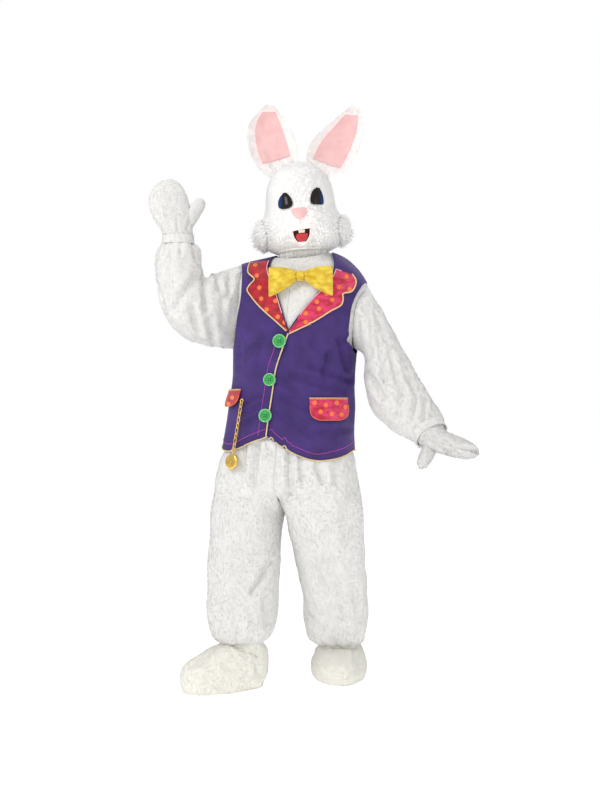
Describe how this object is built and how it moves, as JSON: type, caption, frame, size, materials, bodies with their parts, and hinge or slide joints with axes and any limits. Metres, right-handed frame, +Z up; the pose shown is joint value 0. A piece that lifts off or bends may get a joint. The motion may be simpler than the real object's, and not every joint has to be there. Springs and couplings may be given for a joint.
{
  "type": "mascot costume",
  "caption": "Adult rabbit mascot costume: white plush suit, purple waistcoat, bow tie, long-eared mask, mittens and shoe covers, hollow and held in a waving pose.",
  "frame": {"origin": "middle of the chest between the shoulders, where the wearer carries the costume", "axes": "+X to the wearer's left, the wearer faces -Y, +Z up"},
  "size_m": [1.1137, 0.5908, 2.0165],
  "materials": {
    "white_plush": "long white plush",
    "cream_plush": "cream plush",
    "pink_plush": "short pink plush",
    "purple_cloth": "purple satin cloth",
    "red_satin": "red satin with orange dots",
    "yellow_satin": "yellow satin",
    "gold_braid": "woven gold braid",
    "mouth_cloth": "dark cloth",
    "tongue_cloth": "red cloth",
    "teeth_cloth": "cream felt",
    "green_plastic": "glossy",
    "black_plastic": "glossy",
    "brass": "polished"
  },
  "bodies": {
    "costume": {"bow_knot": "yellow_satin", "bow_wing_left": "yellow_satin", "bow_wing_right": "yellow_satin", "button_1": "green_plastic", "button_2": "green_plastic", "button_3": "green_plastic", "cuff_left": "white_plush", "cuff_right": "white_plush", "ear_left": "white_plush", "ear_left_lining": "pink_plush", "ear_right": "white_plush", "ear_right_lining": "pink_plush", "eye_left": "black_plastic", "eye_right": "black_plastic", "lapel_left": "red_satin", "lapel_left_braid": "gold_braid", "lapel_right": "red_satin", "lapel_right_braid": "gold_braid", "mask_back": "white_plush", "mask_face": "white_plush", "mask_neck": "white_plush", "mitten_left_back": "white_plush", "mitten_left_palm": "white_plush", "mitten_left_thumb": "white_plush", "mitten_right_back": "white_plush", "mitten_right_palm": "white_plush", "mitten_right_thumb": "white_plush", "mouth_lining": "mouth_cloth", "nose": "pink_plush", "pocket_flap_left": "red_satin", "pocket_flap_right": "red_satin", "shoe_cover_left": "cream_plush", "shoe_cover_right": "cream_plush", "shoe_sole_left": "cream_plush", "shoe_sole_right": "cream_plush", "sleeve_left_back": "white_plush", "sleeve_left_front": "white_plush", "sleeve_right_back": "white_plush", "sleeve_right_front": "white_plush", "suit_back_left": "white_plush", "suit_back_right": "white_plush", "suit_front_left": "white_plush", "suit_front_right": "white_plush", "teeth": "teeth_cloth", "tongue": "tongue_cloth", "vest_back": "purple_cloth", "vest_front_braid": "gold_braid", "vest_front_left": "purple_cloth", "vest_front_right": "purple_cloth", "watch_ring": "brass"},
    "watch_and_chain": {"watch_chain": "brass", "watch": "brass"}
  },
  "joints": [
    {"name": "chain_swing", "type": "hinge", "parent": "costume", "child": "watch_and_chain", "pos_m": [-0.19147, -0.09939, -0.46921], "axis": [-0.7953, 0.6062, 0], "range_deg": [0, 50]}
  ]
}
